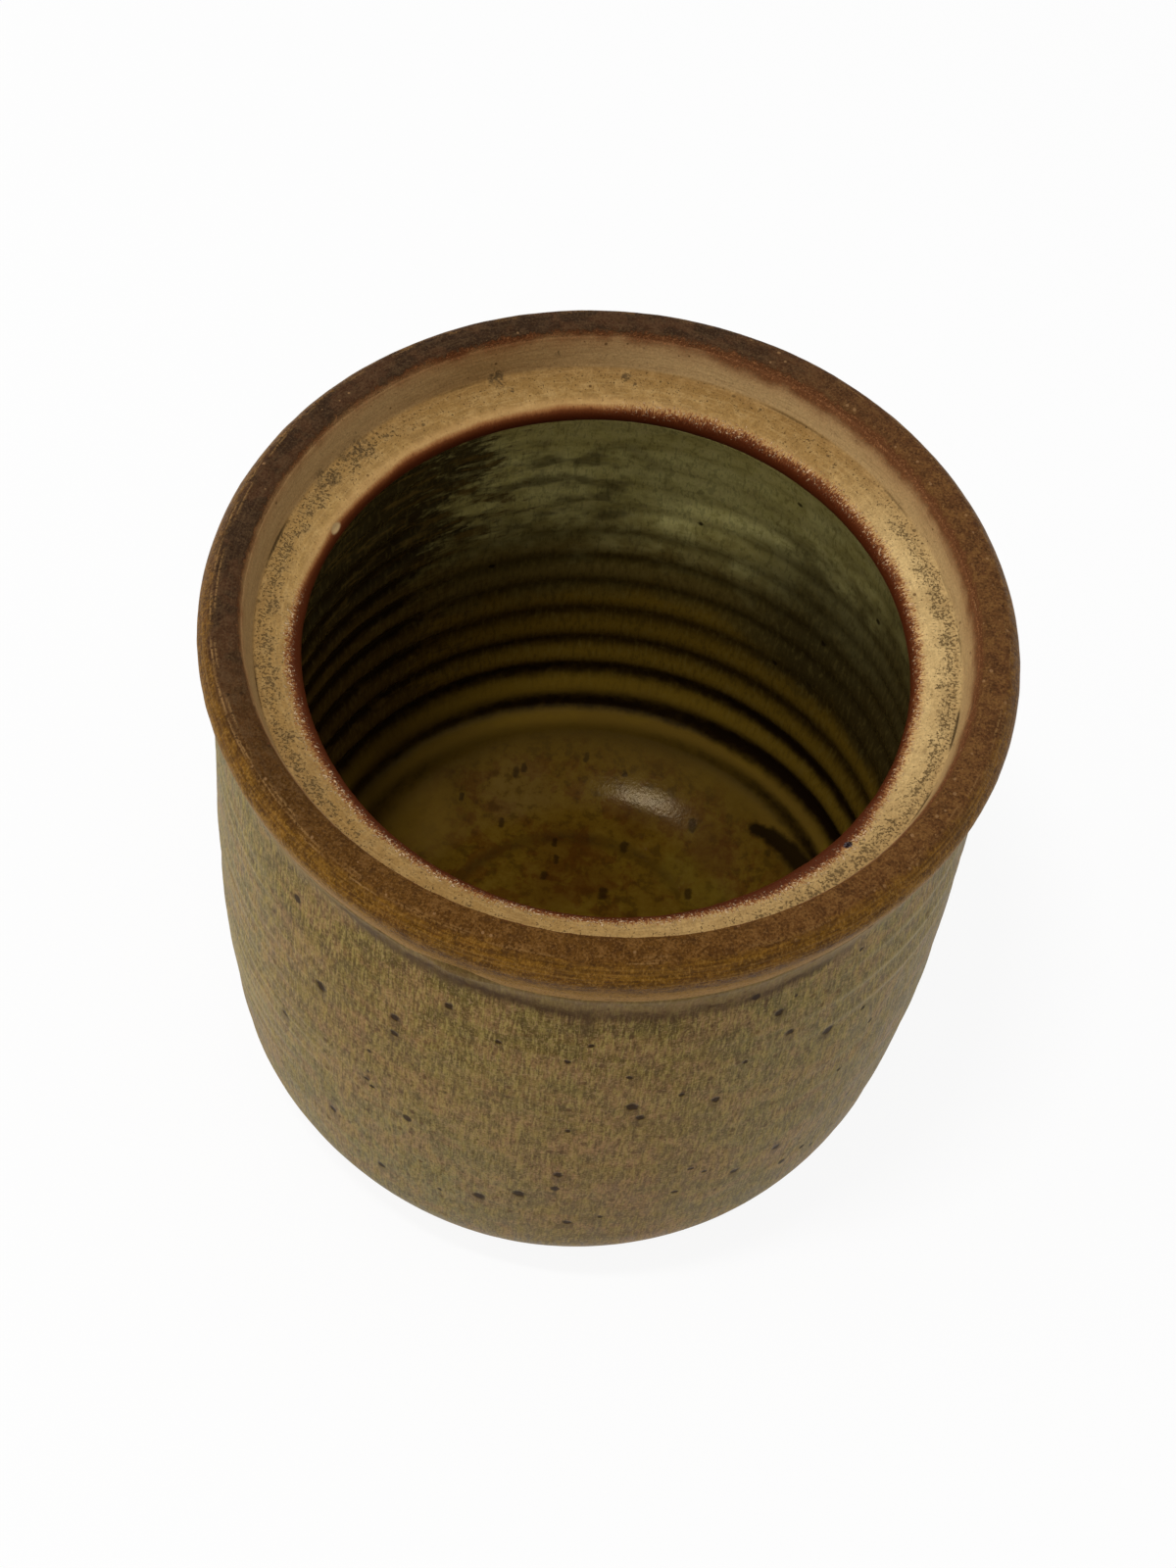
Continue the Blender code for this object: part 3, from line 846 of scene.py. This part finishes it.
def liner_wall(paint, broad, blur, on_wall):
    """Inner wall: olive low down, grey green high at the back with painted light, painted shade at the right,
    and brown at the left.
    """
    ridge = paint.kept("ridge")
    run = paint.noise((0.9, 0.9, 3), 3, 0.6, seed=3, where=on_wall)
    smear = paint.noise((9, 9, 2.3), 4, 0.6, 0.3, seed=5, where=on_wall)
    patches = paint.noise((7, 7, 4), 2, 0.5, seed=8, where=on_wall)
    level = paint.plus(paint.height, paint.swing(broad, 6.0), paint.swing(blur, 2.0))
    # Lighter on the ridges than in the grooves, in the olive, the duller glaze and the pale brown at the
    # left: thinner glaze on the ridges, and a painted highlight.
    ridge_top_and_highlight = paint.mix(paint.step(level, 32, 22), colour(124, 97, 28), colour(112, 86, 30))
    dull = paint.mix(ridge, colour(84, 70, 30), colour(108, 90, 42))
    # Grey green high on the wall, painted far lighter than the glaze lower down: the glaze's colour, and
    # painted light for the light that falls on the upper wall.
    green = paint.layers(
        paint.mix(paint.above(broad, 0.5, 0.1), colour(192, 180, 106), colour(212, 202, 128)),
        (paint.above(blur, 0.56, 0.08), 0.4, colour(204, 190, 126)),
        (paint.below(blur, 0.44, 0.08), 0.4, colour(140, 128, 72)),
        (paint.above(smear, 0.58, 0.05), 0.3, colour(200, 188, 120)))
    left_edge = paint.plus(
        paint.kept("left"), paint.swing(broad, 0.4), paint.swing(smear, 0.7), paint.swing(blur, 0.6),
        paint.times(paint.step(paint.height, 78, 96), 0.7))
    pale_brown = paint.either(
        paint.times(ridge, paint.step(paint.height, 100, 70)), paint.step(smear, 0.5, 0.62))
    blotch = paint.times(paint.below(patches, 0.45, 0.12), paint.sector(114, 16, 20),
                         paint.band(paint.height, 88, 122, 8))
    over_floor = paint.step(paint.height, 24, 40)
    return paint.layers(
        paint.mix(ridge, colour(74, 55, 14), ridge_top_and_highlight),
        (paint.step(level, 58, 72), dull),
        (paint.step(level, 76, 92), paint.mix(0.5, dull, green)),
        (paint.step(level, 86, 102), green),
        # Darker on the right wall up to about 110 mm, and a dimmer grey green above it: painted shade.
        (paint.sector(16, 32, 26), paint.band(level, 62, 110, 7), 0.85, colour(60, 50, 25)),
        (paint.sector(-18, 36, 26), paint.step(level, 60, 80), 0.75, colour(66, 54, 27)),
        (paint.sector(22, 20, 20), paint.step(level, 98, 112), 0.4, colour(118, 108, 62)),
        (blotch, 0.65, colour(60, 48, 26)),
        (paint.step(left_edge, -0.2, 1.1), paint.step(paint.height, 24, 42), 0.95,
         paint.mix(pale_brown, colour(34, 20, 7), colour(92, 70, 28))),
        (paint.below(run, 0.43), over_floor, 0.3, colour(48, 38, 16)),
        (paint.above(run, 0.58), over_floor, 0.2, colour(132, 116, 62)))


# Rust-coloured and pale patches on the floor: place and radius of each
rust_patches = [(-4, 30, 11.5, 9), (-7, 18, 11.5, 7), (4, 22, 11.5, 6), (32, 34, 13.7, 7), (12, 39, 12, 5)]
pale_patches = [(25, 28, 11.5, 6), (32, 22, 11.5, 6)]

# Iron spots on the floor: place, half width and half length of each
floor_spots = [
    (-2, 54, 17, 0.8, 1.2), (-18.7, 47.9, 15.6, 0.9, 1.3), (-16.9, 49.2, 15.9, 0.8, 1),
    (-31, 38.7, 14.8, 0.7, 0.6), (-20.5, 34.7, 11.7, 0.8, 0.8), (-6.8, 31.5, 11.3, 0.8, 0.6),
    (-5.9, 26.8, 11.4, 0.8, 0.6), (-8.3, 21.7, 11.5, 1, 0.5), (8.1, 51.2, 15.8, 0.7, 0.5),
    (44.7, 45.3, 25.5, 0.8, 0.3), (46, 42.6, 24.4, 0.8, 0.3), (6.5, 18.9, 11.5, 1.2, 0.8),
    (10.1, 32.6, 11.3, 1.1, 0.6), (26.2, 40, 13.9, 1.2, 0.9), (27.1, 21.8, 11.3, 1, 0.7),
    (45, 32.5, 18.1, 0.8, 0.4)]

# Comma-shaped iron mark at the floor's right, as strokes: start, end and half width of each
floor_comma = [
    ((41.4, 38.6, 18.4), (45.0, 37.0, 19.0), 1.8),
    ((45.4, 36.6, 19.2), (50.0, 32.4, 20.4), 2.5),
    ((50.0, 32.4, 20.4), (54.4, 26.0, 22.2), 3.0)]

# Specks on the inner wall: azimuth and height of each
wall_specks = [(76, 98), (57, 122.5), (34.5, 108), (46.5, 81.5), (115, 77.5), (56, 61.5)]


def liner_floor(paint, broad, blur):
    """Floor: ochre with rust clouds, a faint ring and small iron spots, painted light in the lip's shadow at
    the left and a painted glossy haze beside the glint.
    """
    rust = paint.noise(7, 4, 0.65, 0.5, seed=4)
    ring = paint.times(paint.band(paint.radius, 32.2, 35.0, 1.4), paint.sector(106, 46, 26))
    spots = [paint.stroke((x, y - long, z), (x, y + long, z), size) for x, y, z, size, long in floor_spots]
    return paint.layers(
        colour(99, 72, 16),
        (paint.above(broad, 0.5, 0.08), 0.4, colour(106, 80, 20)),
        (paint.above(rust, 0.53, 0.06), 0.65, colour(84, 48, 10)),
        (paint.above(blur, 0.57, 0.07), 0.3, colour(120, 94, 32)),
        (paint.below(blur, 0.43, 0.07), 0.5, colour(56, 36, 8)),
        # Lighter at the floor's left, inside the lip's shadow: painted light.
        (paint.blob(-44, 33, 12, 13), 0.6, colour(136, 104, 36)),
        # A greyish haze left of the floor's glint: painted reflection.
        (paint.blob(-18, 44, 13, 9), paint.step(blur, 0.3, 0.6), 0.45, colour(108, 84, 40)),
        (paint.either(*(paint.blob(*place) for place in rust_patches)), rust, 0.9, colour(76, 42, 8)),
        (paint.either(*(paint.blob(*place) for place in pale_patches)), blur, 0.6, colour(112, 96, 30)),
        (ring, paint.step(blur, 0.35, 0.55), 0.6, colour(50, 31, 10)),
        (paint.either(*spots), 0.75, colour(38, 22, 6)))


def liner_glaze():
    """Olive liner glaze: grey green high on the back wall with painted light, painted shade on the right
    wall, brown on the left, near black in the grooves.
    """
    paint = Paint("liner_glaze_olive", 69)
    broad = paint.noise(16, 3, 0.6, seed=1)
    blur = paint.noise((3.2, 3.2, 2.2), 4, 0.65, seed=2)
    pooled = paint.step(paint.plus(paint.kept("groove"), paint.swing(blur, 0.12)), 0.12, 0.8)
    comma = paint.either(*(paint.stroke(*line) for line in floor_comma))
    specks = paint.either(*(paint.mark(*place, 0.75) for place in wall_specks))
    base = paint.layers(
        liner_wall(paint, broad, blur, paint.wrapped(69, paint.height)),
        (paint.step(paint.height, 22, 15), liner_floor(paint, broad, blur)),
        (paint.either(pooled, paint.times(comma, 0.93)), colour(23, 13, 4)),
        (specks, 0.85, colour(22, 16, 8)))
    relief = paint.plus(paint.times(blur, 0.6), paint.times(paint.noise(0.8, 2, 0.5, seed=6), 0.4))
    rough = paint.slope(broad, 0.35, 0.65, 0.16, 0.2)
    return paint.finish(base, rough, relief, depth=0.06, level=0.05)


shape_liner().done(liner_glaze(), "inside_liner_glaze", "liner_glaze")
shape_clay().done(buff_clay(), "clay_body", "buff_stoneware")
shape_wash().done(iron_wash(), "rim_iron_wash", "iron_wash")
shape_ash_glaze().done(ash_glaze(), "outside_ash_glaze", "ash_glaze")

# Studio: how bright the world is to the jar, how much of the floor glows to the camera, and the lamps,
# each with its place and size in metres and its power in watts
world_on_jar = 0.49
floor_glow_share = 0.9
floor_white = 0.95
floor_reach = 4
lamps = [
    ("key", (-0.27, -0.23, 1.45), (0.26, 0.05), 7.8),
    ("left_fill", (-1.40, -0.15, 0.36), (0.8, 0.8), 6.5),
    ("right_fill", (1.30, 0.30, 0.45), (0.8, 0.8), 1.5)]
lamps_aim = (0, 0, 0.12)
lamps_turn = 47

# Camera, fitted to the rim and the side in the photograph: from looking straight down, its turns
# in degrees about its own X, Y and Z, and its place in metres
camera_angles = (32.501, 0.059, 7.71)
camera_place = (0, -0.29176, 0.54695)
camera_lens = 58.5
camera_near = 0.01


def background_rays(tree):
    """1 for the rays that meet the background itself: from the camera, from a gloss and through glass."""
    rays = tree.nodes.new("ShaderNodeLightPath")
    seen = rays.outputs["Is Camera Ray"]
    for kind in ("Is Glossy Ray", "Is Transmission Ray"):
        either = tree.nodes.new("ShaderNodeMath")
        either.operation = "MAXIMUM"
        tree.links.new(seen, either.inputs[0])
        tree.links.new(rays.outputs[kind], either.inputs[1])
        seen = either.outputs[0]
    return seen


def white_world():
    """White behind the jar, and dimmer where it only lights the jar."""
    world = bpy.data.worlds.new("white_studio")
    bpy.context.scene.world = world
    world.use_nodes = True
    tree = world.node_tree
    strength = tree.nodes.new("ShaderNodeMapRange")
    strength.inputs["To Min"].default_value = world_on_jar
    strength.inputs["To Max"].default_value = 1.0
    back = tree.nodes["Background"]
    back.inputs["Color"].default_value = (1, 1, 1, 1)
    tree.links.new(background_rays(tree), strength.inputs["Value"])
    tree.links.new(strength.outputs[0], back.inputs["Strength"])


def white_floor():
    """Pale floor under the jar, which keeps the jar's shadow and is close to white behind it."""
    mesh = bpy.data.meshes.new("floor")
    form = bmesh.new()
    bmesh.ops.create_grid(form, x_segments=1, y_segments=1, size=floor_reach)
    form.to_mesh(mesh)
    form.free()
    floor = bpy.data.objects.new("floor", mesh)
    bpy.context.scene.collection.objects.link(floor)
    white = bpy.data.materials.new("pale_floor")
    white.use_nodes = True
    tree = white.node_tree
    matt = tree.nodes["Principled BSDF"]
    matt.inputs["Base Color"].default_value = (floor_white, floor_white, floor_white, 1)
    matt.inputs["Roughness"].default_value = 0.9
    glow = tree.nodes.new("ShaderNodeEmission")
    share = tree.nodes.new("ShaderNodeMath")
    share.operation = "MULTIPLY"
    share.inputs[1].default_value = floor_glow_share
    both = tree.nodes.new("ShaderNodeMixShader")
    tree.links.new(background_rays(tree), share.inputs[0])
    tree.links.new(share.outputs[0], both.inputs[0])
    tree.links.new(matt.outputs[0], both.inputs[1])
    tree.links.new(glow.outputs[0], both.inputs[2])
    tree.links.new(both.outputs[0], tree.nodes["Material Output"].inputs["Surface"])
    mesh.materials.append(white)


def light_jar():
    """One small key lamp for the glint on the floor, and a large soft lamp on each side."""
    for name, place, (width, depth), power in lamps:
        lamp = bpy.data.lights.new(name, "AREA")
        lamp.shape = "RECTANGLE"
        lamp.size, lamp.size_y, lamp.energy = width, depth, power
        holder = bpy.data.objects.new(name, lamp)
        bpy.context.scene.collection.objects.link(holder)
        holder.location = place
        aim = (Vector(lamps_aim) - holder.location).to_track_quat("-Z", "Y")
        holder.rotation_euler = (aim @ Quaternion((0, 0, 1), math.radians(lamps_turn))).to_euler()
        holder.visible_glossy = name == "key"


def place_camera():
    """The photograph's view."""
    data = bpy.data.cameras.new("camera")
    data.lens = camera_lens
    data.sensor_width = 36
    data.clip_start = camera_near
    view = bpy.data.objects.new("camera", data)
    bpy.context.scene.collection.objects.link(view)
    stand = Matrix.Translation(camera_place)
    for angle, axis in zip(camera_angles, "XYZ"):
        stand = stand @ Matrix.Rotation(math.radians(angle), 4, axis)
    view.matrix_world = stand
    bpy.context.scene.camera = view


bpy.context.scene.view_settings.view_transform = "Standard"
white_world()
white_floor()
light_jar()
place_camera()
